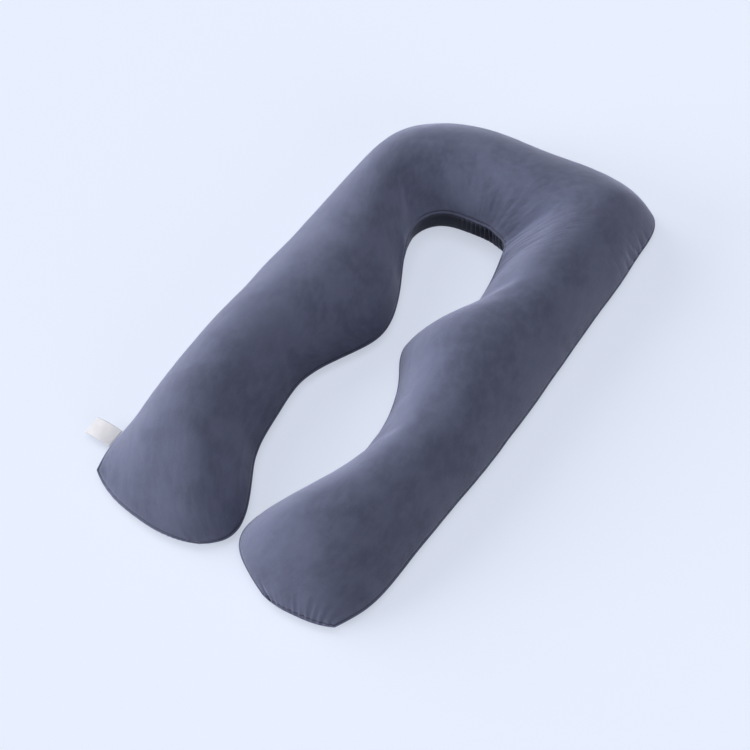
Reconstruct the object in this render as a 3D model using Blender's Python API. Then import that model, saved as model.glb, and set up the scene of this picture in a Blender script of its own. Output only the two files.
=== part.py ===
"""U-shaped pregnancy pillow: one filled body, seamed round its side, with a folded label in the seam."""
import math
from collections import namedtuple

import bmesh
import bpy
import numpy as np

# One row for each section across a leg, from the foot to the bend. The inner point lies on the
# seam that faces the other leg, the outer point on the seam round the outside. X is the distance
# from the pillow's middle line and Y runs from the feet to the bend, both in metres.
Section = namedtuple("Section", "inner_x inner_y outer_x outer_y thick")

RIGHT_LEG = (
    Section(0.114, 0.010, 0.280, 0.030, 0.150),
    Section(0.009, 0.070, 0.312, 0.100, 0.152),
    Section(-0.006, 0.160, 0.323, 0.180, 0.155),
    Section(0.043, 0.270, 0.326, 0.280, 0.154),
    Section(0.088, 0.400, 0.332, 0.400, 0.152),
    Section(0.086, 0.520, 0.338, 0.520, 0.156),
    Section(0.047, 0.630, 0.341, 0.640, 0.168),
    Section(0.008, 0.710, 0.342, 0.750, 0.174),
    Section(0.026, 0.790, 0.340, 0.860, 0.172),
    Section(0.078, 0.870, 0.338, 0.970, 0.170),
    Section(0.077, 0.950, 0.337, 1.080, 0.170),
    Section(0.076, 0.998, 0.336, 1.190, 0.170),
    Section(0.073, 1.040, 0.333, 1.295, 0.170),
    Section(0.057, 1.089, 0.301, 1.426, 0.170),
    Section(0.025, 1.107, 0.142, 1.456, 0.170),
)
LEFT_LEG = (
    Section(0.066, 0.035, 0.371, 0.063, 0.150),
    Section(0.029, 0.070, 0.384, 0.110, 0.152),
    Section(0.033, 0.160, 0.390, 0.190, 0.155),
    Section(0.093, 0.270, 0.399, 0.280, 0.154),
    Section(0.126, 0.400, 0.407, 0.400, 0.152),
    Section(0.132, 0.520, 0.411, 0.520, 0.156),
    Section(0.089, 0.630, 0.411, 0.640, 0.168),
    Section(0.058, 0.710, 0.413, 0.750, 0.174),
    Section(0.065, 0.790, 0.411, 0.860, 0.172),
    Section(0.099, 0.870, 0.412, 0.970, 0.170),
    Section(0.136, 0.950, 0.408, 1.080, 0.170),
    Section(0.158, 1.038, 0.408, 1.190, 0.170),
    Section(0.124, 1.100, 0.376, 1.310, 0.170),
    Section(0.068, 1.115, 0.268, 1.401, 0.170),
    Section(0.025, 1.117, 0.121, 1.438, 0.170),
)
BEND_MIDDLE = Section(0.000, 1.116, 0.000, 1.441, 0.170)

# Section shape: how full the crown is, how squarely the underside turns under below the seam, how
# high the seam lies above the surface, and how far the weight flattens the underside. Round the
# inside of the bend the seam stands higher, as a rim between a flatter crown and an upright wall.
CROWN_POWER = 2.3
UNDERSIDE_POWER = 8.0
OUTER_SEAM_HEIGHT = 0.018
INNER_SEAM_HEIGHT = 0.022
UNDERSIDE_PRESS = 0.006
RIM_CROWN_POWER = 1.7
RIM_WALL_POWER = 20.0
RIM_SEAM_HEIGHT = 0.070
RIM_START_LEFT_Y = 0.860
RIM_START_RIGHT_Y = 0.960
RIM_FADE_IN = 0.100
RIM_WIDTH = 0.6

# The feet: how far each end seam bows out, how full that bow is and how it dies away up the leg,
# then the length over which the filling rounds up from the end seam, and how full that is.
RIGHT_FOOT_BOW = 0.014
LEFT_FOOT_BOW = 0.036
BOW_POWER = 2.6
BOW_REACH = 0.300
BOW_FADE_POWER = 1.5
FOOT_ROUNDING = 0.170
FOOT_POWER = 2.0

# The seam is drawn in below the cloth on both sides of it. The cloth is gathered along the end
# seams, and falls in upright pleats on the wall inside the bend.
SEAM_DRAW = 0.0025
END_GATHER_DEPTH = 0.003
END_GATHERS = 6
PLEAT_DEPTH = 0.004
PLEAT_PITCH = 0.036
PLEATS_START_Y = 0.930
PLEATS_FADE_IN = 0.060
PLEAT_FADE_POWER = 8

# How finely the body is divided along the pillow, over each foot's rounding and round a section.
LENGTH_STEPS = 108
FOOT_STEPS = 6
SECTION_STEPS = 28
SEAM_STEP = math.radians(6.5)
WELD = 1e-6

# The label: a strip folded double, caught in the outer seam of the left leg near the foot.
LABEL_WIDTH = 0.048
LABEL_LENGTH = 0.070
LABEL_THICKNESS = 0.0016
LABEL_FROM_CORNER = 0.086
LABEL_SEAM_GAP = 0.0015
LABEL_ARCH = 0.006
LABEL_DROOP = 0.004
LABEL_STEPS_ACROSS = 6
LABEL_STEPS_OUT = 10


def clear_scene():
    for obj in list(bpy.context.scene.objects):
        bpy.data.objects.remove(obj, do_unlink=True)


def make_material(name, colour, roughness, sheen):
    material = bpy.data.materials.new(name)
    material.use_nodes = True
    shader = material.node_tree.nodes["Principled BSDF"]
    shader.inputs["Base Color"].default_value = (*colour, 1.0)
    shader.inputs["Roughness"].default_value = roughness
    shader.inputs["Metallic"].default_value = 0.0
    shader.inputs["Sheen Weight"].default_value = sheen
    return material


def natural_spline(knots, values, places):
    """Natural cubic spline through the values at the knots, read at the given places."""
    gaps = np.diff(knots)
    count = len(knots)
    matrix = np.eye(count)
    rates = np.zeros((count, values.shape[1]))
    for row in range(1, count - 1):
        before = gaps[row - 1]
        after = gaps[row]
        matrix[row, row - 1:row + 2] = (before, 2.0 * (before + after), after)
        rise_before = (values[row] - values[row - 1]) / before
        rise_after = (values[row + 1] - values[row]) / after
        rates[row] = 6.0 * (rise_after - rise_before)
    bends = np.linalg.solve(matrix, rates)
    index = np.clip(np.searchsorted(knots, places) - 1, 0, count - 2)
    along = (places - knots[index])[:, None]
    gap = gaps[index][:, None]
    start_bend = bends[index]
    end_bend = bends[index + 1]
    slope = (values[index + 1] - values[index]) / gap - gap * (2.0 * start_bend + end_bend) / 6.0
    curve = along ** 2 * start_bend / 2.0 + along ** 3 * (end_bend - start_bend) / (6.0 * gap)
    return values[index] + along * slope + curve


def all_sections():
    """The sections from the left foot, round the bend, to the right foot, with signed X."""
    left = [(-s.inner_x, s.inner_y, -s.outer_x, s.outer_y, s.thick) for s in LEFT_LEG]
    right = [tuple(s) for s in reversed(RIGHT_LEG)]
    return np.array(left + [tuple(BEND_MIDDLE)] + right)


def stations():
    """Smooth sections at close steps, with their distance from the nearer foot."""
    table = all_sections()
    middles = (table[:, 0:2] + table[:, 2:4]) / 2.0
    knots = np.concatenate(([0.0], np.cumsum(np.linalg.norm(np.diff(middles, axis=0), axis=1))))
    total = knots[-1]
    even = np.linspace(FOOT_ROUNDING, total - FOOT_ROUNDING, LENGTH_STEPS)
    turns = np.linspace(0.0, math.pi / 2.0, FOOT_STEPS + 1)[:-1]
    foot = FOOT_ROUNDING * (1.0 - np.cos(turns))
    places = np.concatenate((foot, even, total - foot[::-1]))
    return natural_spline(knots, table, places), np.minimum(places, total - places)


def section_angles():
    """Angles once round a section: 0 at the outer seam, half a turn at the inner seam."""
    quarter = math.pi / 2.0
    even = np.linspace(0.0, quarter, SECTION_STEPS // 4 + 1)[1:]
    first = np.concatenate(([0.0, SEAM_STEP], even))
    half = np.concatenate((first, math.pi - first[-2::-1]))
    return np.concatenate((half, half[1:-1] + math.pi))


def body_rings():
    """Every section of the pillow as a closed ring of points, from foot to foot."""
    sections, from_foot = stations()
    inner = sections[:, 0:2]
    outer = sections[:, 2:4]
    thick = sections[:, 4]
    angles = section_angles()
    across = np.cos(angles)
    top = np.sin(angles) > 0.0
    seam = np.isclose(np.abs(across), 1.0)
    reach = np.minimum(np.abs(across), 1.0)
    in_bend = rim_shares(inner)
    rim = np.outer(in_bend, smooth_step(-across / RIM_WIDTH))
    crown = 1.0 - reach ** (CROWN_POWER + (RIM_CROWN_POWER - CROWN_POWER) * rim)
    under = 1.0 - reach ** (UNDERSIDE_POWER + (RIM_WALL_POWER - UNDERSIDE_POWER) * rim)
    inner_seam = INNER_SEAM_HEIGHT + (RIM_SEAM_HEIGHT - INNER_SEAM_HEIGHT) * in_bend
    to_inner = (1.0 - across) / 2.0

    end_share = np.clip(1.0 - from_foot / FOOT_ROUNDING, 0.0, 1.0)
    rounding = 1.0 - end_share ** FOOT_POWER
    under_rounding = 1.0 - end_share ** UNDERSIDE_POWER
    bow_share = np.clip(1.0 - from_foot / BOW_REACH, 0.0, 1.0) ** BOW_FADE_POWER
    is_left = sections[:, 2] < 0.0
    bow = np.where(is_left, LEFT_FOOT_BOW, RIGHT_FOOT_BOW) * bow_share
    drawn_in = np.where(seam, SEAM_DRAW, 0.0) + inner_pleats(inner, across)

    rings = []
    for row in range(len(sections)):
        middle = (inner[row] + outer[row]) / 2.0
        half_width = (outer[row] - inner[row]) / 2.0
        width = 2.0 * np.linalg.norm(half_width)
        place = across * (1.0 - 2.0 * drawn_in[row] / width)
        flat = middle + place[:, None] * half_width
        flat[:, 1] -= bow[row] * (1.0 - reach ** BOW_POWER)
        seam_height = OUTER_SEAM_HEIGHT + (inner_seam[row] - OUTER_SEAM_HEIGHT) * to_inner
        rise = (thick[row] - seam_height) * crown[row] * rounding[row]
        drop = (seam_height + UNDERSIDE_PRESS) * under[row] * under_rounding[row]
        height = np.where(top, seam_height + rise, np.maximum(seam_height - drop, 0.0))
        if rounding[row] == 0.0:
            gathers = np.sin(END_GATHERS * math.pi * across)
            flat[:, 1] += SEAM_DRAW + END_GATHER_DEPTH * gathers * (1.0 - across ** 2)
        rings.append(np.column_stack((flat, height)))
    return rings


def rim_shares(inner):
    """How far each section has turned into the bend, where the inner seam stands up as a rim."""
    start = np.where(inner[:, 0] < 0.0, RIM_START_LEFT_Y, RIM_START_RIGHT_Y)
    return smooth_step((inner[:, 1] - start) / RIM_FADE_IN)


def smooth_step(share):
    """A smooth rise from 0 to 1 as the share goes from 0 to 1."""
    share = np.clip(share, 0.0, 1.0)
    return share * share * (3.0 - 2.0 * share)


def inner_pleats(inner, across):
    """How far the inner wall of the bend is drawn in, for each section and each angle round it."""
    steps = np.linalg.norm(np.diff(inner, axis=0), axis=1)
    run = np.concatenate(([0.0], np.cumsum(steps)))
    in_bend = np.clip((inner[:, 1] - PLEATS_START_Y) / PLEATS_FADE_IN, 0.0, 1.0)
    wave = 0.5 + 0.5 * np.cos(2.0 * math.pi * run / PLEAT_PITCH)
    near_seam = np.clip(-across, 0.0, 1.0) ** PLEAT_FADE_POWER
    return PLEAT_DEPTH * np.outer(in_bend * wave, near_seam)


def make_object(name, mesh, material):
    data = bpy.data.meshes.new(name)
    mesh.to_mesh(data)
    mesh.free()
    data.materials.append(material)
    data.shade_smooth()
    obj = bpy.data.objects.new(name, data)
    bpy.context.scene.collection.objects.link(obj)
    return obj


def make_pillow(rings, material):
    """The filled body: the rings bridged from foot to foot, and closed along both end seams."""
    mesh = bmesh.new()
    loops = [[mesh.verts.new(point) for point in ring] for ring in rings]
    for near, far in zip(loops, loops[1:]):
        for corner in range(len(near)):
            mesh.faces.new((near[corner - 1], near[corner], far[corner], far[corner - 1]))
    bmesh.ops.remove_doubles(mesh, verts=mesh.verts, dist=WELD)
    bmesh.ops.recalc_face_normals(mesh, faces=mesh.faces)
    return make_object("pillow", mesh, material)


def left_seam_point(rings, distance):
    """A point of the left leg's outer seam, at a distance along it from the foot's corner."""
    seam = np.array([ring[0] for ring in rings[:len(rings) // 2]])
    lengths = np.concatenate(([0.0], np.cumsum(np.linalg.norm(np.diff(seam, axis=0), axis=1))))
    return np.array([np.interp(distance, lengths, seam[:, axis]) for axis in range(3)])


def make_label(rings, material):
    """A strip folded double, standing out from the left leg's seam and drooping at its fold."""
    mesh = bmesh.new()
    grid = []
    for across in np.linspace(-0.5, 0.5, LABEL_STEPS_ACROSS + 1):
        root = left_seam_point(rings, LABEL_FROM_CORNER + LABEL_WIDTH * across)
        row = []
        for out in np.linspace(0.0, 1.0, LABEL_STEPS_OUT + 1):
            x = root[0] - LABEL_SEAM_GAP - LABEL_LENGTH * out
            z = root[2] + LABEL_ARCH * math.sin(math.pi * out) - LABEL_DROOP * out ** 2
            row.append(mesh.verts.new((x, root[1], z)))
        grid.append(row)
    for near, far in zip(grid, grid[1:]):
        for step in range(LABEL_STEPS_OUT):
            mesh.faces.new((near[step], near[step + 1], far[step + 1], far[step]))
    bmesh.ops.recalc_face_normals(mesh, faces=mesh.faces)
    label = make_object("side_label", mesh, material)
    folded = label.modifiers.new("Folded double", "SOLIDIFY")
    folded.thickness = LABEL_THICKNESS
    folded.offset = 0.0
    return label


def stand_on_origin(objects):
    """Move the pillow so that the middle of its footprint lies on the origin, at floor height."""
    bpy.context.view_layer.update()
    graph = bpy.context.evaluated_depsgraph_get()
    corners = np.array([corner for obj in objects for corner in obj.evaluated_get(graph).bound_box])
    low = corners.min(axis=0)
    high = corners.max(axis=0)
    for obj in objects:
        obj.location = (-(low[0] + high[0]) / 2.0, -(low[1] + high[1]) / 2.0, -low[2])


def main():
    clear_scene()
    jersey = make_material("jersey", (0.093, 0.105, 0.159), 0.85, 0.4)
    label_tape = make_material("label_tape", (0.69, 0.70, 0.74), 0.75, 0.0)
    rings = body_rings()
    pillow = make_pillow(rings, jersey)
    label = make_label(rings, label_tape)
    stand_on_origin((pillow, label))


main()
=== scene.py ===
# Looks of the U-shaped pregnancy pillow: its padded cover, seam, folded label, floor and light.
import math
from collections import namedtuple

import bmesh
import bpy
import numpy as np
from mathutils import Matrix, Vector, noise


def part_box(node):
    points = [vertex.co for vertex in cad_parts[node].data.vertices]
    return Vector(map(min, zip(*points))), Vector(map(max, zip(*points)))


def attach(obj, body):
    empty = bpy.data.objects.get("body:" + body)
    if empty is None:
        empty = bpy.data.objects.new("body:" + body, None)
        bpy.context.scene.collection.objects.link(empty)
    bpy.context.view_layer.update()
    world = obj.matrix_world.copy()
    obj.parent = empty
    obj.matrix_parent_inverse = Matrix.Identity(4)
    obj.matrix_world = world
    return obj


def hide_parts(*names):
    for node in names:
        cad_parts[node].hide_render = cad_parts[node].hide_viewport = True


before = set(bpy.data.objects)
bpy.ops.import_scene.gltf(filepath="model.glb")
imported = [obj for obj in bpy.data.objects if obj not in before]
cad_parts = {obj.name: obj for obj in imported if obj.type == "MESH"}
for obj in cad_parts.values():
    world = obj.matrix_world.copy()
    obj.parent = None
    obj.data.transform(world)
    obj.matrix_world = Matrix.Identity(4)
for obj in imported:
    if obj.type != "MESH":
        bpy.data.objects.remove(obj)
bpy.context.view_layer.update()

# Camera: where it looks, how far it turns round the pillow and down on it, and its lens.
CAMERA_TARGET = Vector((0.0786, -0.1544, 0.080))
CAMERA_AZIMUTH = math.radians(33.2)
CAMERA_ELEVATION = math.radians(51.8)
CAMERA_DISTANCE = 3.21
SENSOR_WIDTH = 36.0
LENS = 68.7

# Light: a low broad window at the front left, weaker ones beside it, and a soft ceiling light.
# Azimuth turns from +X towards +Y. Angles are in degrees, strength in watts per m2.
Light = namedtuple("Light", "name azimuth elevation spread strength")

LIGHTS = (
    Light("window", 222.0, 13.0, 32.0, 2.5),
    Light("window_left", 178.0, 26.0, 40.0, 1.6),
    Light("window_right", 335.0, 14.0, 35.0, 1.0),
    Light("ceiling", 90.0, 88.0, 60.0, 1.05),
)
ROOM_LIGHT = 0.04

# Floor: it gives part of its brightness itself, so that the pillow's shadow on it stays light.
FLOOR_SIZE = 12.0
FLOOR_COLOUR = (0.378, 0.405, 0.469, 1.0)
FLOOR_GLOW = (0.484, 0.518, 0.600, 1.0)

# Jersey: colours of its nap, a painted shade and a painted highlight, and the size and strength
# of its strokes, fibres, ribs and stitches.
JERSEY_DARK = (0.068, 0.077, 0.134, 1.0)
JERSEY_MIDDLE = (0.099, 0.111, 0.186, 1.0)
JERSEY_LIGHT = (0.130, 0.144, 0.232, 1.0)
JERSEY_PALE = (0.160, 0.175, 0.270, 1.0)
# The darkest colour is used for the stitch lines and as painted shade on the bend's upright wall.
JERSEY_SEAM_AND_PAINTED_SHADE = (0.022, 0.025, 0.042, 1.0)
# Painted highlight: the pale lilac colour, and how sharply and how strongly it is blended in at
# edges that turn away from the eye.
JERSEY_PAINTED_HIGHLIGHT = (0.420, 0.450, 0.680, 1.0)
PAINTED_HIGHLIGHT_SHARPNESS = 2.5
PAINTED_HIGHLIGHT_SHARE = 0.65
CLOUD_SCALE = 9.0
CLOUD_ROUGHNESS = 0.55
NAP_DETAIL = 4.0
STROKE_SCALE = 34.0
STROKE_ROUGHNESS = 0.6
STROKE_SLANT = 0.5
STROKE_STRETCH = 1.3
STROKE_SHARE = 0.42
FIBRE_SCALE = 420.0
FIBRE_SHARE = 0.45
WORN_SHARE = 0.10
SEAM_SHADE = 0.7
# Painted shade: how far the bend's upright wall is darkened towards the darkest colour.
PAINTED_WALL_SHADE = 0.75
WORN_FROM_SEAM = (0.030, 0.008)
CLOUD_RANGE = (0.40, 0.60)
STROKE_RANGE = (0.38, 0.68)
FIBRE_STRETCH = 0.7
THREAD_LINE_EDGE = 0.0004
STITCH_LINE_WIDTH = (0.0020, 0.0005)
RIB_PITCH = 0.0016
LOOP_PITCH = 0.0022
STITCH_PITCH = 0.0035
NAP_DEPTH = 0.0003
RIB_SHARE = 0.25
LOOP_SHARE = 0.15
FIBRE_RELIEF = 1.2
STROKE_RELIEF = 0.8
STITCH_RELIEF = 1.5
JERSEY_ROUGHNESS = 0.80
FIBRE_ROUGHNESS = 0.15
JERSEY_GLOSS = 0.25
SHEEN = 1.0
SHEEN_ROUGHNESS = 0.35
SHEEN_TINT = (0.72, 0.76, 1.0, 1.0)

# Label tape: its colours, its threads and how far they stand out, and its soft gloss.
TAPE_PALE = (0.94, 0.94, 0.98, 1.0)
TAPE_SHADED = (0.88, 0.88, 0.93, 1.0)
TAPE_PITCH = 0.0008
TAPE_RELIEF = 0.00008
TAPE_CLOUD_SCALE = 60.0
TAPE_CLOUD_RANGE = (0.3, 0.7)
TAPE_CLOUD_RELIEF = 2.0
TAPE_THREAD_RANGE = (0.2, 1.0)
TAPE_THREAD_SHARE = 0.2
TAPE_ROUGHNESS = 0.60
TAPE_ROUGHNESS_SPREAD = 0.2
TAPE_GLOSS = 0.4
TAPE_SHEEN = 0.15

# The cover's outline, a row for each section across a leg from the foot to the bend. The inner
# point lies on the seam that faces the other leg and the outer point on the seam round the
# outside. X is the distance from the pillow's middle line, in metres.
Section = namedtuple("Section", "inner_x inner_y outer_x outer_y thick")

RIGHT_LEG = (
    Section(0.114, 0.010, 0.280, 0.030, 0.150),
    Section(0.009, 0.070, 0.312, 0.100, 0.152),
    Section(-0.006, 0.160, 0.323, 0.180, 0.155),
    Section(0.043, 0.270, 0.326, 0.280, 0.154),
    Section(0.088, 0.400, 0.332, 0.400, 0.152),
    Section(0.086, 0.520, 0.338, 0.520, 0.156),
    Section(0.047, 0.630, 0.341, 0.640, 0.168),
    Section(0.008, 0.710, 0.342, 0.750, 0.174),
    Section(0.026, 0.790, 0.340, 0.860, 0.172),
    Section(0.078, 0.870, 0.338, 0.970, 0.170),
    Section(0.077, 0.950, 0.337, 1.080, 0.170),
    Section(0.076, 0.998, 0.336, 1.190, 0.170),
    Section(0.073, 1.040, 0.333, 1.295, 0.170),
    Section(0.057, 1.089, 0.301, 1.426, 0.170),
    Section(0.025, 1.107, 0.142, 1.456, 0.170),
)
LEFT_LEG = (
    Section(0.066, 0.035, 0.371, 0.063, 0.150),
    Section(0.029, 0.070, 0.384, 0.110, 0.152),
    Section(0.033, 0.160, 0.390, 0.190, 0.155),
    Section(0.093, 0.270, 0.399, 0.280, 0.154),
    Section(0.126, 0.400, 0.407, 0.400, 0.152),
    Section(0.132, 0.520, 0.411, 0.520, 0.156),
    Section(0.089, 0.630, 0.411, 0.640, 0.168),
    Section(0.058, 0.710, 0.413, 0.750, 0.174),
    Section(0.065, 0.790, 0.411, 0.860, 0.172),
    Section(0.099, 0.870, 0.412, 0.970, 0.170),
    Section(0.136, 0.950, 0.408, 1.080, 0.170),
    Section(0.158, 1.038, 0.408, 1.190, 0.170),
    Section(0.124, 1.100, 0.376, 1.310, 0.170),
    Section(0.068, 1.115, 0.268, 1.401, 0.170),
    Section(0.025, 1.117, 0.121, 1.438, 0.170),
)
BEND_MIDDLE = Section(0.000, 1.116, 0.000, 1.441, 0.170)

# Form of a section: how full its crown and underside are, the heights of its two seams, and how
# far the underside is pressed in. In the bend the inner seam rises as a rim over an upright wall.
CROWN_POWER = 2.3
UNDERSIDE_POWER = 8.0
OUTER_SEAM_HEIGHT = 0.018
INNER_SEAM_HEIGHT = 0.022
UNDERSIDE_PRESS = 0.006
RIM_CROWN_POWER = 1.7
RIM_WALL_POWER = 20.0
RIM_SEAM_HEIGHT = 0.070
RIM_START_LEFT_Y = 0.860
RIM_START_RIGHT_Y = 0.960
RIM_FADE_IN = 0.100
RIM_WIDTH = 0.6

# Feet: how far each end bows out between its corners, and over what length it rounds off.
RIGHT_FOOT_BOW = 0.014
LEFT_FOOT_BOW = 0.036
BOW_POWER = 2.6
BOW_REACH = 0.300
BOW_FADE_POWER = 1.5
FOOT_ROUNDING = 0.170
FOOT_POWER = 2.0

# The label is one strip folded double, its two cut ends caught in the left leg's outer seam.
LABEL_WIDTH = 0.048
LABEL_LENGTH = 0.070
LABEL_GAUGE = 0.0005
LABEL_FOLD_RADIUS = 0.0006
LABEL_FROM_CORNER = 0.090
LABEL_SEAM_GAP = 0.0015
LABEL_ARCH = 0.004
LABEL_STEPS_ACROSS = 24
LABEL_STEPS_OUT = 30
LABEL_STEPS_FOLD = 6

# How finely the cover is divided: along the pillow, over each foot's rounding, and round the top
# and underside of a section. Steps crowd towards the seams, and along the gathered far corner.
# Column 0 of the grid is the outer seam, and the inner seam has the column after all top steps.
LENGTH_STEPS = 350
FOOT_STEPS = 24
TOP_STEPS = 38
UNDER_STEPS = 18
INNER_COLUMN = TOP_STEPS // 2 * 2
SEAM_CROWDING = 1.35
CROWDED_CORNER_Y = 1.250
CROWDED_CORNER_REACH = 0.090
CORNER_CROWDING = 2.2
CROWDING_SAMPLES = 4 * LENGTH_STEPS
WALL_SIDE = -0.01
MERGE_DISTANCE = 1e-6

# The cover starts a little slack, then the cloth swells under the filling's pressure. A narrow
# strip at the seams and the underside is held.
SLACK = 0.002
SWELL_PRESSURE = 4.0
SWELL_FRAMES = 20
SWELL_LIMIT = 0.010
HELD_WIDTH = 0.004
LEAST_LENGTH = 1e-9
CLOTH_SPARE = 0.002
CLOTH_MASS = 0.3
CLOTH_STIFFNESS = 20.0
CLOTH_BENDING = 14.0

# The seam's two edges stand out as a narrow welt, with a line of stitching sunk on each side.
WELT_WIDTH = 0.0060
STITCH_DEPTH = 0.0014
STITCH_WIDTH = 0.0024

# Gathers run from a seam into the cloth. Each row gives the seam, the side of it (top or
# under), the middle of the gathered stretch along it and its half length, the distance between
# folds, their depth, and how far they run into the cloth, all in metres. Lengths start at the
# left foot or at the outer corner.
Gather = namedtuple("Gather", "seam side middle half_length pitch depth reach")

GATHERS = (
    Gather("left_end", "top", 0.255, 0.060, 0.012, 0.0026, 0.024),
    Gather("left_end", "top", 0.120, 0.130, 0.021, 0.0010, 0.020),
    Gather("right_end", "top", 0.085, 0.110, 0.013, 0.0036, 0.030),
    Gather("right_end", "top", 0.146, 0.009, 0.018, 0.0060, 0.020),
    Gather("outer", "top", 2.140, 0.110, 0.030, 0.0055, 0.045),
    Gather("inner", "under", 1.290, 0.120, 0.012, 0.0045, 0.080),
    Gather("inner", "top", 1.320, 0.090, 0.015, 0.0009, 0.150),
    Gather("inner", "top", 1.960, 0.060, 0.013, 0.0010, 0.100),
    Gather("inner", "top", 0.557, 0.050, 0.015, 0.0009, 0.090),
)
FOLD_DRIFT = 0.35
FOLD_SPREAD = 0.45
FOLD_WANDER_SIZE = 0.045
GATHER_FADE = 1.5
STRENGTH_SHUFFLE = 12.9898
REACH_SHUFFLE = 78.233
SIDE_SHARPNESS = 6.0
SIDE_OVERLAP = 0.4

# The filling lies a little unevenly under the cloth.
LUMP_SIZE = 0.130
LUMP_HEIGHT = 0.0022
RIPPLE_SIZE = 0.034
RIPPLE_HEIGHT = 0.0004
FLOOR_FADE = 0.020
NOISE_STEPS = (3.7, 1.9, 5.3)
WANDER_SEED = 1
LUMP_SEED = 2
RIPPLE_SEED = 3


def natural_spline(knots, values, places):
    """Natural cubic spline through the values at the knots, read at the given places."""
    gaps = np.diff(knots)
    count = len(knots)
    matrix = np.eye(count)
    rates = np.zeros((count, values.shape[1]))
    for row in range(1, count - 1):
        before = gaps[row - 1]
        after = gaps[row]
        matrix[row, row - 1:row + 2] = (before, 2.0 * (before + after), after)
        rise_before = (values[row] - values[row - 1]) / before
        rise_after = (values[row + 1] - values[row]) / after
        rates[row] = 6.0 * (rise_after - rise_before)
    bends = np.linalg.solve(matrix, rates)
    index = np.clip(np.searchsorted(knots, places) - 1, 0, count - 2)
    along = (places - knots[index])[:, None]
    gap = gaps[index][:, None]
    start_bend = bends[index]
    end_bend = bends[index + 1]
    slope = (values[index + 1] - values[index]) / gap - gap * (2.0 * start_bend + end_bend) / 6.0
    curve = along ** 2 * start_bend / 2.0 + along ** 3 * (end_bend - start_bend) / (6.0 * gap)
    return values[index] + along * slope + curve


def all_sections():
    """The sections from the left foot, round the bend, to the right foot, with signed X."""
    left = [(-s.inner_x, s.inner_y, -s.outer_x, s.outer_y, s.thick) for s in LEFT_LEG]
    right = [tuple(s) for s in reversed(RIGHT_LEG)]
    return np.array(left + [tuple(BEND_MIDDLE)] + right)


def crowded_places(knots, table, start, end):
    """Places along the pillow, closer together beside the gathered far corner."""
    fine = np.linspace(start, end, CROWDING_SAMPLES)
    outer = natural_spline(knots, table[:, 2:4], fine)
    off_corner = (outer[:, 1] - CROWDED_CORNER_Y) / CROWDED_CORNER_REACH
    near_corner = np.where(outer[:, 0] > 0.0, np.exp(-off_corner ** 2), 0.0)
    density = 1.0 + CORNER_CROWDING * near_corner
    count = np.concatenate(([0.0], np.cumsum((density[1:] + density[:-1]) / 2.0)))
    return np.interp(np.linspace(0.0, count[-1], LENGTH_STEPS), count, fine)


def stations():
    """Smooth sections at close steps, with their distance along the pillow."""
    table = all_sections()
    middles = (table[:, 0:2] + table[:, 2:4]) / 2.0
    knots = np.concatenate(([0.0], np.cumsum(np.linalg.norm(np.diff(middles, axis=0), axis=1))))
    total = knots[-1]
    even = crowded_places(knots, table, FOOT_ROUNDING, total - FOOT_ROUNDING)
    turns = np.linspace(0.0, math.pi / 2.0, FOOT_STEPS + 1)[:-1]
    foot = FOOT_ROUNDING * (1.0 - np.cos(turns))
    places = np.concatenate((foot, even, total - foot[::-1]))
    return natural_spline(knots, table, places), places


def half_turn(steps):
    """Angles over half a section, from the outer seam up to the inner seam."""
    share = np.linspace(0.0, 1.0, steps // 2 + 1)
    quarter = share ** SEAM_CROWDING * math.pi / 2.0
    return np.concatenate((quarter, math.pi - quarter[-2::-1]))


def section_angles():
    """Angles once round a section, closer together at the two seams."""
    return np.concatenate((half_turn(TOP_STEPS), half_turn(UNDER_STEPS)[1:-1] + math.pi))


def smooth_step(share):
    """A smooth rise from 0 to 1 as the share goes from 0 to 1."""
    share = np.clip(share, 0.0, 1.0)
    return share * share * (3.0 - 2.0 * share)


def rim_shares(inner):
    """How far each section has turned into the bend, where the inner seam stands up as a rim."""
    start = np.where(inner[:, 0] < 0.0, RIM_START_LEFT_Y, RIM_START_RIGHT_Y)
    return smooth_step((inner[:, 1] - start) / RIM_FADE_IN)


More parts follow.
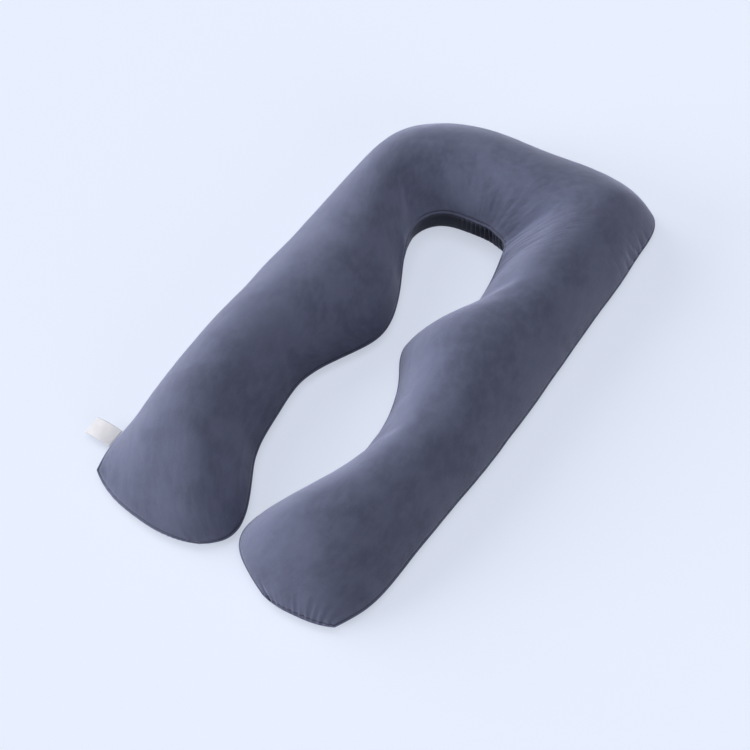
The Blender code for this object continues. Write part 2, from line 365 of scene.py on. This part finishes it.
def cover_grid(slack):
    """Points of the cover as a grid: a row for each station, a column for each angle."""
    sections, places = stations()
    from_foot = np.minimum(places, places[-1] - places)
    inner = sections[:, 0:2]
    outer = sections[:, 2:4]
    thick = sections[:, 4]
    angles = section_angles()
    across = np.cos(angles)
    top = np.sin(angles) > 0.0
    reach = np.minimum(np.abs(across), 1.0)
    in_bend = rim_shares(inner)
    rim = np.outer(in_bend, smooth_step(-across / RIM_WIDTH))
    crown = 1.0 - reach ** (CROWN_POWER + (RIM_CROWN_POWER - CROWN_POWER) * rim)
    under = 1.0 - reach ** (UNDERSIDE_POWER + (RIM_WALL_POWER - UNDERSIDE_POWER) * rim)
    inner_seam = INNER_SEAM_HEIGHT + (RIM_SEAM_HEIGHT - INNER_SEAM_HEIGHT) * in_bend
    to_inner = (1.0 - across) / 2.0

    end_share = np.clip(1.0 - from_foot / FOOT_ROUNDING, 0.0, 1.0)
    rounding = 1.0 - end_share ** FOOT_POWER
    under_rounding = 1.0 - end_share ** UNDERSIDE_POWER
    bow_share = np.clip(1.0 - from_foot / BOW_REACH, 0.0, 1.0) ** BOW_FADE_POWER
    bow = np.where(sections[:, 2] < 0.0, LEFT_FOOT_BOW, RIGHT_FOOT_BOW) * bow_share

    middle = (inner + outer) / 2.0
    half_width = (outer - inner) / 2.0
    flat = middle[:, None, :] + across[None, :, None] * half_width[:, None, :]
    flat[:, :, 1] -= np.outer(bow, 1.0 - reach ** BOW_POWER)
    seam_height = OUTER_SEAM_HEIGHT + np.outer(inner_seam - OUTER_SEAM_HEIGHT, to_inner)
    rise = (thick[:, None] - slack - seam_height) * crown * rounding[:, None]
    drop = (seam_height + UNDERSIDE_PRESS) * under * under_rounding[:, None]
    height = np.where(top[None, :], seam_height + rise, np.maximum(seam_height - drop, 0.0))
    return np.dstack((flat, height)), angles


def running_length(points):
    """Distance from the first of a line of points to each of them."""
    steps = np.linalg.norm(np.diff(points, axis=0), axis=1)
    return np.concatenate(([0.0], np.cumsum(steps)))


def seam_measures(grid, angles):
    """For each point: how far it lies from each seam, and where along the seam it stands."""
    in_bend = rim_shares(grid[:, INNER_COLUMN, 0:2])
    # The wall mask marks the bend's upright wall under the rim, which the jersey darkens as
    # painted shade.
    wall = np.outer(in_bend, np.where(np.sin(angles) < WALL_SIDE, 1.0, 0.0))
    rows, columns = grid.shape[:2]
    outer_run = running_length(grid[:, 0])
    inner_run = running_length(grid[:, INNER_COLUMN])
    closed = np.concatenate((grid, grid[:, :1]), axis=1)
    round_steps = np.linalg.norm(np.diff(closed, axis=1), axis=2)
    turned = np.concatenate((np.zeros((rows, 1)), np.cumsum(round_steps, axis=1)), axis=1)
    girth = turned[:, -1:]
    to_outer = np.minimum(turned, girth - turned)[:, :-1]
    to_inner = np.abs(turned - turned[:, INNER_COLUMN:INNER_COLUMN + 1])[:, :-1]
    long_steps = np.linalg.norm(np.diff(grid, axis=0), axis=2)
    walked = np.concatenate((np.zeros((1, columns)), np.cumsum(long_steps, axis=0)))
    left_end = np.abs(grid[0, :, 0] - grid[0, 0, 0])
    right_end = np.abs(grid[-1, :, 0] - grid[-1, 0, 0])
    across_rows = np.ones((rows, 1))
    along_columns = np.ones(columns)
    return {
        "outer_far": to_outer,
        "outer_run": np.outer(outer_run, along_columns),
        "inner_far": to_inner,
        "inner_run": np.outer(inner_run, along_columns),
        "left_end_far": walked,
        "left_end_run": across_rows * left_end,
        "right_end_far": walked[-1] - walked,
        "right_end_run": across_rows * right_end,
        "upward": across_rows * np.sin(angles),
        "wall": wall,
    }


def grid_object(name, grid, measures):
    """The grid as one closed mesh, with its measures kept on its points."""
    mesh = bmesh.new()
    layers = {key: mesh.verts.layers.float.new(key) for key in measures}
    rows = []
    for row, points in enumerate(grid):
        verts = []
        for column, point in enumerate(points):
            vert = mesh.verts.new(point)
            for key, layer in layers.items():
                vert[layer] = measures[key][row, column]
            verts.append(vert)
        rows.append(verts)
    for near, far in zip(rows, rows[1:]):
        for column in range(len(near)):
            mesh.faces.new((near[column - 1], near[column], far[column], far[column - 1]))
    bmesh.ops.remove_doubles(mesh, verts=mesh.verts, dist=MERGE_DISTANCE)
    bmesh.ops.recalc_face_normals(mesh, faces=mesh.faces)
    return linked_object(name, mesh)


def linked_object(name, mesh):
    """The mesh as a smooth-shaded object of the scene."""
    data = bpy.data.meshes.new(name)
    mesh.to_mesh(data)
    mesh.free()
    data.shade_smooth()
    obj = bpy.data.objects.new(name, data)
    bpy.context.scene.collection.objects.link(obj)
    return obj


def read_points(obj):
    points = np.empty(len(obj.data.vertices) * 3)
    obj.data.vertices.foreach_get("co", points)
    return points.reshape(-1, 3)


def write_points(obj, points):
    obj.data.vertices.foreach_set("co", points.ravel())
    obj.data.update()


def read_measure(obj, name):
    values = np.empty(len(obj.data.vertices))
    obj.data.attributes[name].data.foreach_get("value", values)
    return values


def read_normals(obj):
    normals = np.empty(len(obj.data.vertices) * 3)
    obj.data.vertex_normals.foreach_get("vector", normals)
    return normals.reshape(-1, 3)


def apply_modifiers(obj):
    """Keep the shape that the object's modifiers give at the present frame."""
    graph = bpy.context.evaluated_depsgraph_get()
    finished = bpy.data.meshes.new_from_object(obj.evaluated_get(graph))
    obj.modifiers.clear()
    obj.data = finished


def swell(cover, floor_height):
    """Let the cloth swell under the filling's pressure, held at its seams and flat underside."""
    start = read_points(cover)
    seam = np.minimum(read_measure(cover, "outer_far"), read_measure(cover, "inner_far"))
    ends = np.minimum(read_measure(cover, "left_end_far"), read_measure(cover, "right_end_far"))
    at_seam = np.minimum(seam, ends) < HELD_WIDTH
    held = at_seam | (start[:, 2] < floor_height + HELD_WIDTH)
    group = cover.vertex_groups.new(name="held")
    group.add(np.flatnonzero(held).tolist(), 1.0, "REPLACE")
    cloth = cover.modifiers.new("Swell", "CLOTH")
    cloth.settings.vertex_group_mass = group.name
    cloth.settings.use_pressure = True
    cloth.settings.uniform_pressure_force = SWELL_PRESSURE
    cloth.settings.shrink_min = -CLOTH_SPARE
    cloth.settings.mass = CLOTH_MASS
    cloth.settings.tension_stiffness = CLOTH_STIFFNESS
    cloth.settings.compression_stiffness = CLOTH_STIFFNESS
    cloth.settings.bending_stiffness = CLOTH_BENDING
    cloth.settings.effector_weights.gravity = 0.0
    cloth.collision_settings.use_collision = False
    cloth.collision_settings.use_self_collision = False
    cloth.point_cache.frame_start = 1
    cloth.point_cache.frame_end = SWELL_FRAMES
    for frame_number in range(1, SWELL_FRAMES + 1):
        bpy.context.scene.frame_set(frame_number)
    apply_modifiers(cover)
    cover.vertex_groups.clear()
    bpy.context.scene.frame_set(1)
    moved = read_points(cover) - start
    length = np.linalg.norm(moved, axis=1)[:, None]
    moved *= np.minimum(1.0, SWELL_LIMIT / np.maximum(length, LEAST_LENGTH))
    end = start + moved
    end[:, 2] = np.maximum(end[:, 2], floor_height)
    write_points(cover, end)


def subdivide_once(obj):
    """Round the mesh off with one level of subdivision."""
    smooth = obj.modifiers.new("Smooth", "SUBSURF")
    smooth.levels = 1
    smooth.render_levels = 1
    apply_modifiers(obj)


def noise_values(points, size, seed):
    """Smooth noise from -1 to 1 at each point, its lumps about the given size across."""
    shift = Vector([seed * step for step in NOISE_STEPS])
    return np.array([noise.noise(Vector(point) / size + shift) for point in points])


def fold_depths(run, far, gather, wander):
    """How deep the folds of one gathered stretch are, between 0 and 1, at each point."""
    off_middle = np.abs(run - gather.middle) / gather.half_length
    window = smooth_step(GATHER_FADE * (1.0 - off_middle))
    place = run / gather.pitch + FOLD_DRIFT * wander
    fold = np.floor(place)
    strength = 1.0 + FOLD_SPREAD * np.sin(fold * STRENGTH_SHUFFLE)
    reach = gather.reach * (1.0 + FOLD_SPREAD * np.sin(fold * REACH_SHUFFLE))
    valley = np.abs(np.cos(math.pi * (place - fold) - math.pi / 2.0))
    return window * strength * (1.0 - valley) * np.exp(-(far / reach) ** 2)


def dress(cover, floor_height):
    """Press in the seam, gather the cloth beside it, and let the filling lie unevenly."""
    points = read_points(cover)
    normals = read_normals(cover)
    fars = {key: read_measure(cover, key + "_far")
            for key in ("outer", "inner", "left_end", "right_end")}
    nearest = np.minimum.reduce(list(fars.values()))
    wander = noise_values(points, FOLD_WANDER_SIZE, WANDER_SEED)
    push = LUMP_HEIGHT * noise_values(points, LUMP_SIZE, LUMP_SEED)
    push += RIPPLE_HEIGHT * noise_values(points, RIPPLE_SIZE, RIPPLE_SEED)
    upward = read_measure(cover, "upward") * SIDE_SHARPNESS
    sides = {"top": smooth_step(upward + SIDE_OVERLAP),
             "under": smooth_step(SIDE_OVERLAP - upward)}
    for gather in GATHERS:
        run = read_measure(cover, gather.seam + "_run")
        folds = fold_depths(run, fars[gather.seam], gather, wander)
        push -= gather.depth * sides[gather.side] * folds
    push *= smooth_step((points[:, 2] - floor_height) / FLOOR_FADE)
    push -= STITCH_DEPTH * np.exp(-((nearest - WELT_WIDTH) / STITCH_WIDTH) ** 2)
    points += normals * push[:, None]
    points[:, 2] = np.maximum(points[:, 2], floor_height)
    write_points(cover, points)


def make_label(grid, material):
    """One strip folded double, standing out from the left leg's seam in a low arch."""
    seam = grid[:len(grid) // 2, 0]
    lengths = running_length(seam)
    out = np.linspace(0.0, 1.0, LABEL_STEPS_OUT + 1)
    rise = LABEL_ARCH * np.sin(math.pi * out)
    reach = (LABEL_LENGTH - LABEL_FOLD_RADIUS) * out
    turn = np.linspace(0.0, math.pi, LABEL_STEPS_FOLD + 1)[1:-1]
    fold_out = reach[-1] + LABEL_FOLD_RADIUS * np.sin(turn)
    fold_rise = rise[-1] - LABEL_FOLD_RADIUS * np.cos(turn)
    profile_out = np.concatenate((reach, fold_out, reach[::-1]))
    profile_rise = np.concatenate((rise - LABEL_FOLD_RADIUS, fold_rise,
                                   rise[::-1] + LABEL_FOLD_RADIUS))
    mesh = bmesh.new()
    rows = []
    for across in np.linspace(-0.5, 0.5, LABEL_STEPS_ACROSS + 1):
        distance = LABEL_FROM_CORNER + LABEL_WIDTH * across
        root = [np.interp(distance, lengths, seam[:, axis]) for axis in range(3)]
        row = [mesh.verts.new((root[0] - LABEL_SEAM_GAP - step_out, root[1], root[2] + step_up))
               for step_out, step_up in zip(profile_out, profile_rise)]
        rows.append(row)
    for near, far in zip(rows, rows[1:]):
        for step in range(len(near) - 1):
            mesh.faces.new((near[step], near[step + 1], far[step + 1], far[step]))
    bmesh.ops.recalc_face_normals(mesh, faces=mesh.faces)
    label = linked_object("label", mesh)
    gauge = label.modifiers.new("Cloth gauge", "SOLIDIFY")
    gauge.thickness = LABEL_GAUGE
    gauge.offset = 0.0
    apply_modifiers(label)
    label.data.materials.append(material)
    return label


def place_in_frame(grid):
    """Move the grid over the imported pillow, by the middle of its box."""
    low, high = (np.array(corner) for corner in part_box("pillow"))
    grid_low = grid.reshape(-1, 3).min(axis=0)
    grid_high = grid.reshape(-1, 3).max(axis=0)
    move = (low + high) / 2.0 - (grid_low + grid_high) / 2.0
    move[2] = low[2] - grid_low[2]
    return move


class Nodes:
    """Short ways to add shader nodes to one material."""

    def __init__(self, name):
        self.material = bpy.data.materials.new(name)
        self.material.use_nodes = True
        self.tree = self.material.node_tree
        self.shader = self.tree.nodes["Principled BSDF"]

    def link(self, source, target):
        if hasattr(source, "links"):
            self.tree.links.new(source, target)
        else:
            target.default_value = source

    def maths(self, operation, first, second=0.0, clamp=False):
        node = self.tree.nodes.new("ShaderNodeMath")
        node.operation = operation
        node.use_clamp = clamp
        self.link(first, node.inputs[0])
        self.link(second, node.inputs[1])
        return node.outputs[0]

    def measure(self, name):
        node = self.tree.nodes.new("ShaderNodeAttribute")
        node.attribute_name = name
        return node.outputs["Fac"]

    def facing(self):
        """0 where the surface faces the eye, 1 where it turns away at its edge."""
        node = self.tree.nodes.new("ShaderNodeLayerWeight")
        node.inputs["Blend"].default_value = 0.5
        return node.outputs["Facing"]

    def place(self):
        return self.tree.nodes.new("ShaderNodeTexCoord").outputs["Object"]

    def combine(self, x, y, z=0.0):
        node = self.tree.nodes.new("ShaderNodeCombineXYZ")
        self.link(x, node.inputs[0])
        self.link(y, node.inputs[1])
        self.link(z, node.inputs[2])
        return node.outputs[0]

    def speckle(self, place, scale, detail=2.0, roughness=0.5):
        node = self.tree.nodes.new("ShaderNodeTexNoise")
        self.link(place, node.inputs["Vector"])
        node.inputs["Scale"].default_value = scale
        node.inputs["Detail"].default_value = detail
        node.inputs["Roughness"].default_value = roughness
        return node.outputs["Fac"]

    def spread(self, value, low, high):
        """Stretch the middle of the value's range over 0 to 1."""
        node = self.tree.nodes.new("ShaderNodeMapRange")
        node.interpolation_type = "SMOOTHSTEP"
        self.link(value, node.inputs["Value"])
        node.inputs["From Min"].default_value = low
        node.inputs["From Max"].default_value = high
        return node.outputs["Result"]

    def blend(self, share, first, second):
        node = self.tree.nodes.new("ShaderNodeMix")
        node.data_type = "RGBA"
        self.link(share, node.inputs["Factor"])
        self.link(first, node.inputs["A"])
        self.link(second, node.inputs["B"])
        return node.outputs["Result"]

    def bump(self, height, distance):
        node = self.tree.nodes.new("ShaderNodeBump")
        node.inputs["Distance"].default_value = distance
        self.link(height, node.inputs["Height"])
        self.link(node.outputs["Normal"], self.shader.inputs["Normal"])

    def set(self, **values):
        for name, value in values.items():
            self.link(value, self.shader.inputs[name.replace("_", " ")])


def jersey_material():
    """Brushed knit: fine ribs, a nap with lighter and darker strokes, and a stitched seam, with
    painted shade on the bend's upright wall and a painted highlight at edges that turn away.
    """
    n = Nodes("slate_jersey")
    along = n.measure("outer_run")
    around = n.measure("outer_far")
    seam = n.maths("MINIMUM", n.measure("outer_far"), n.measure("inner_far"))
    ends = n.maths("MINIMUM", n.measure("left_end_far"), n.measure("right_end_far"))
    seam = n.maths("MINIMUM", seam, ends)

    clouds = n.speckle(n.place(), CLOUD_SCALE, NAP_DETAIL, CLOUD_ROUGHNESS)
    clouds = n.spread(clouds, *CLOUD_RANGE)
    slanted = n.combine(n.maths("ADD", along, n.maths("MULTIPLY", around, STROKE_SLANT)),
                        n.maths("MULTIPLY", around, STROKE_STRETCH))
    strokes = n.speckle(slanted, STROKE_SCALE, NAP_DETAIL, STROKE_ROUGHNESS)
    strokes = n.spread(strokes, *STROKE_RANGE)
    stretched = n.combine(n.maths("MULTIPLY", along, FIBRE_STRETCH), around)
    fibres = n.speckle(stretched, FIBRE_SCALE)
    colour = n.blend(clouds, JERSEY_DARK, JERSEY_MIDDLE)
    colour = n.blend(n.maths("MULTIPLY", strokes, STROKE_SHARE), colour, JERSEY_LIGHT)
    colour = n.blend(n.maths("MULTIPLY", fibres, FIBRE_SHARE), colour, JERSEY_PALE)
    worn = n.maths("MULTIPLY", n.spread(seam, *WORN_FROM_SEAM), WORN_SHARE)
    colour = n.blend(worn, colour, JERSEY_PALE)
    off_stitch = n.maths("ABSOLUTE", n.maths("SUBTRACT", seam, WELT_WIDTH))
    in_seam = n.spread(off_stitch, STITCH_WIDTH, THREAD_LINE_EDGE)
    in_seam = n.maths("MULTIPLY", in_seam, SEAM_SHADE)
    colour = n.blend(in_seam, colour, JERSEY_SEAM_AND_PAINTED_SHADE)
    # Painted shade: the bend's upright wall is darkened towards the darkest colour.
    colour = n.blend(n.maths("MULTIPLY", n.measure("wall"), PAINTED_WALL_SHADE), colour, JERSEY_SEAM_AND_PAINTED_SHADE)
    # Painted highlight: the colour turns pale lilac where the surface turns away from the eye,
    # but not on the upright wall.
    rim = n.maths("POWER", n.facing(), PAINTED_HIGHLIGHT_SHARPNESS)
    rim = n.maths("MULTIPLY", rim, n.maths("SUBTRACT", 1.0, n.measure("wall")))
    colour = n.blend(n.maths("MULTIPLY", rim, PAINTED_HIGHLIGHT_SHARE), colour, JERSEY_PAINTED_HIGHLIGHT)

    ribs = n.maths("SINE", n.maths("MULTIPLY", around, 2.0 * math.pi / RIB_PITCH))
    loops = n.maths("SINE", n.maths("MULTIPLY", along, 2.0 * math.pi / LOOP_PITCH))
    stitches = n.maths("SINE", n.maths("MULTIPLY", along, 2.0 * math.pi / STITCH_PITCH))
    stitches = n.maths("MULTIPLY", stitches, n.spread(off_stitch, *STITCH_LINE_WIDTH))
    height = n.maths("MULTIPLY", ribs, RIB_SHARE)
    reliefs = ((loops, LOOP_SHARE), (fibres, FIBRE_RELIEF), (strokes, STROKE_RELIEF),
               (stitches, STITCH_RELIEF))
    for pattern, share in reliefs:
        height = n.maths("ADD", height, n.maths("MULTIPLY", pattern, share))
    n.bump(height, NAP_DEPTH)
    uneven = n.maths("MULTIPLY", fibres, FIBRE_ROUGHNESS)
    roughness = n.maths("ADD", JERSEY_ROUGHNESS, uneven)
    n.set(Base_Color=colour, Roughness=roughness, Specular_IOR_Level=JERSEY_GLOSS)
    n.set(Sheen_Weight=SHEEN, Sheen_Roughness=SHEEN_ROUGHNESS, Sheen_Tint=SHEEN_TINT)
    return n.material


def label_material():
    """Smooth woven tape: crossing threads and faint cloudy patches."""
    n = Nodes("label_tape")
    place = n.tree.nodes.new("ShaderNodeSeparateXYZ")
    n.link(n.place(), place.inputs[0])
    warp = n.maths("SINE", n.maths("MULTIPLY", place.outputs[0], 2.0 * math.pi / TAPE_PITCH))
    weft = n.maths("SINE", n.maths("MULTIPLY", place.outputs[1], 2.0 * math.pi / TAPE_PITCH))
    threads = n.maths("MULTIPLY", warp, weft)
    uneven = n.speckle(n.place(), TAPE_CLOUD_SCALE, detail=3.0)
    colour = n.blend(n.spread(uneven, *TAPE_CLOUD_RANGE), TAPE_SHADED, TAPE_PALE)
    raised = n.maths("MULTIPLY", n.spread(threads, *TAPE_THREAD_RANGE), TAPE_THREAD_SHARE)
    colour = n.blend(raised, colour, TAPE_SHADED)
    n.bump(n.maths("ADD", threads, n.maths("MULTIPLY", uneven, TAPE_CLOUD_RELIEF)), TAPE_RELIEF)
    dull = n.maths("MULTIPLY", uneven, TAPE_ROUGHNESS_SPREAD)
    n.set(Base_Color=colour, Roughness=n.maths("ADD", TAPE_ROUGHNESS, dull))
    n.set(Specular_IOR_Level=TAPE_GLOSS, Sheen_Weight=TAPE_SHEEN)
    return n.material


def make_floor():
    """A plain pale floor that is no part of the pillow."""
    mesh = bmesh.new()
    bmesh.ops.create_grid(mesh, x_segments=1, y_segments=1, size=FLOOR_SIZE)
    data = bpy.data.meshes.new("floor")
    mesh.to_mesh(data)
    mesh.free()
    floor = bpy.data.objects.new("floor", data)
    bpy.context.scene.collection.objects.link(floor)
    n = Nodes("pale_floor")
    n.set(Base_Color=FLOOR_COLOUR, Roughness=1.0, Specular_IOR_Level=0.0)
    n.set(Emission_Color=FLOOR_GLOW, Emission_Strength=1.0)
    data.materials.append(n.material)
    floor.visible_diffuse = False


def make_camera():
    """The camera at the angle and distance of the photograph."""
    data = bpy.data.cameras.new("camera")
    data.sensor_width = SENSOR_WIDTH
    data.lens = LENS
    camera = bpy.data.objects.new("camera", data)
    level = math.cos(CAMERA_ELEVATION)
    back = Vector((math.sin(CAMERA_AZIMUTH) * level, -math.cos(CAMERA_AZIMUTH) * level,
                   math.sin(CAMERA_ELEVATION)))
    camera.location = CAMERA_TARGET + back * CAMERA_DISTANCE
    camera.rotation_euler = back.to_track_quat("Z", "Y").to_euler()
    bpy.context.scene.collection.objects.link(camera)
    bpy.context.scene.camera = camera


def add_sun(light):
    """A soft distant light that shines from the given direction."""
    azimuth = math.radians(light.azimuth)
    elevation = math.radians(light.elevation)
    direction = Vector((math.cos(azimuth) * math.cos(elevation),
                        math.sin(azimuth) * math.cos(elevation), math.sin(elevation)))
    data = bpy.data.lights.new(light.name, "SUN")
    data.energy = light.strength
    data.angle = math.radians(light.spread)
    sun = bpy.data.objects.new(light.name, data)
    sun.rotation_euler = direction.to_track_quat("Z", "Y").to_euler()
    bpy.context.scene.collection.objects.link(sun)


def make_light():
    """The soft lights, and a weak even light from above the horizon."""
    for light in LIGHTS:
        add_sun(light)
    world = bpy.data.worlds.new("room")
    world.use_nodes = True
    background = world.node_tree.nodes["Background"]
    nodes = world.node_tree.nodes
    direction = nodes.new("ShaderNodeTexCoord")
    height = nodes.new("ShaderNodeSeparateXYZ")
    above = nodes.new("ShaderNodeMath")
    above.operation = "GREATER_THAN"
    above.inputs[1].default_value = 0.0
    world.node_tree.links.new(direction.outputs["Generated"], height.inputs[0])
    world.node_tree.links.new(height.outputs[2], above.inputs[0])
    world.node_tree.links.new(above.outputs[0], background.inputs["Color"])
    background.inputs["Strength"].default_value = ROOM_LIGHT
    bpy.context.scene.world = world


def main():
    """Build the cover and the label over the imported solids, with floor, light and camera."""
    make_camera()
    make_floor()
    make_light()
    bpy.context.scene.view_settings.view_transform = "Standard"
    full, angles = cover_grid(0.0)
    move = place_in_frame(full)
    floor_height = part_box("pillow")[0][2]
    slack, angles = cover_grid(SLACK)
    cover = grid_object("cover", slack + move, seam_measures(full, angles))
    swell(cover, floor_height)
    subdivide_once(cover)
    dress(cover, floor_height)
    cover.data.materials.append(jersey_material())
    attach(cover, "root")
    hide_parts("pillow")
    label = make_label(full + move, label_material())
    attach(label, "root")
    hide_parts("side_label")


main()
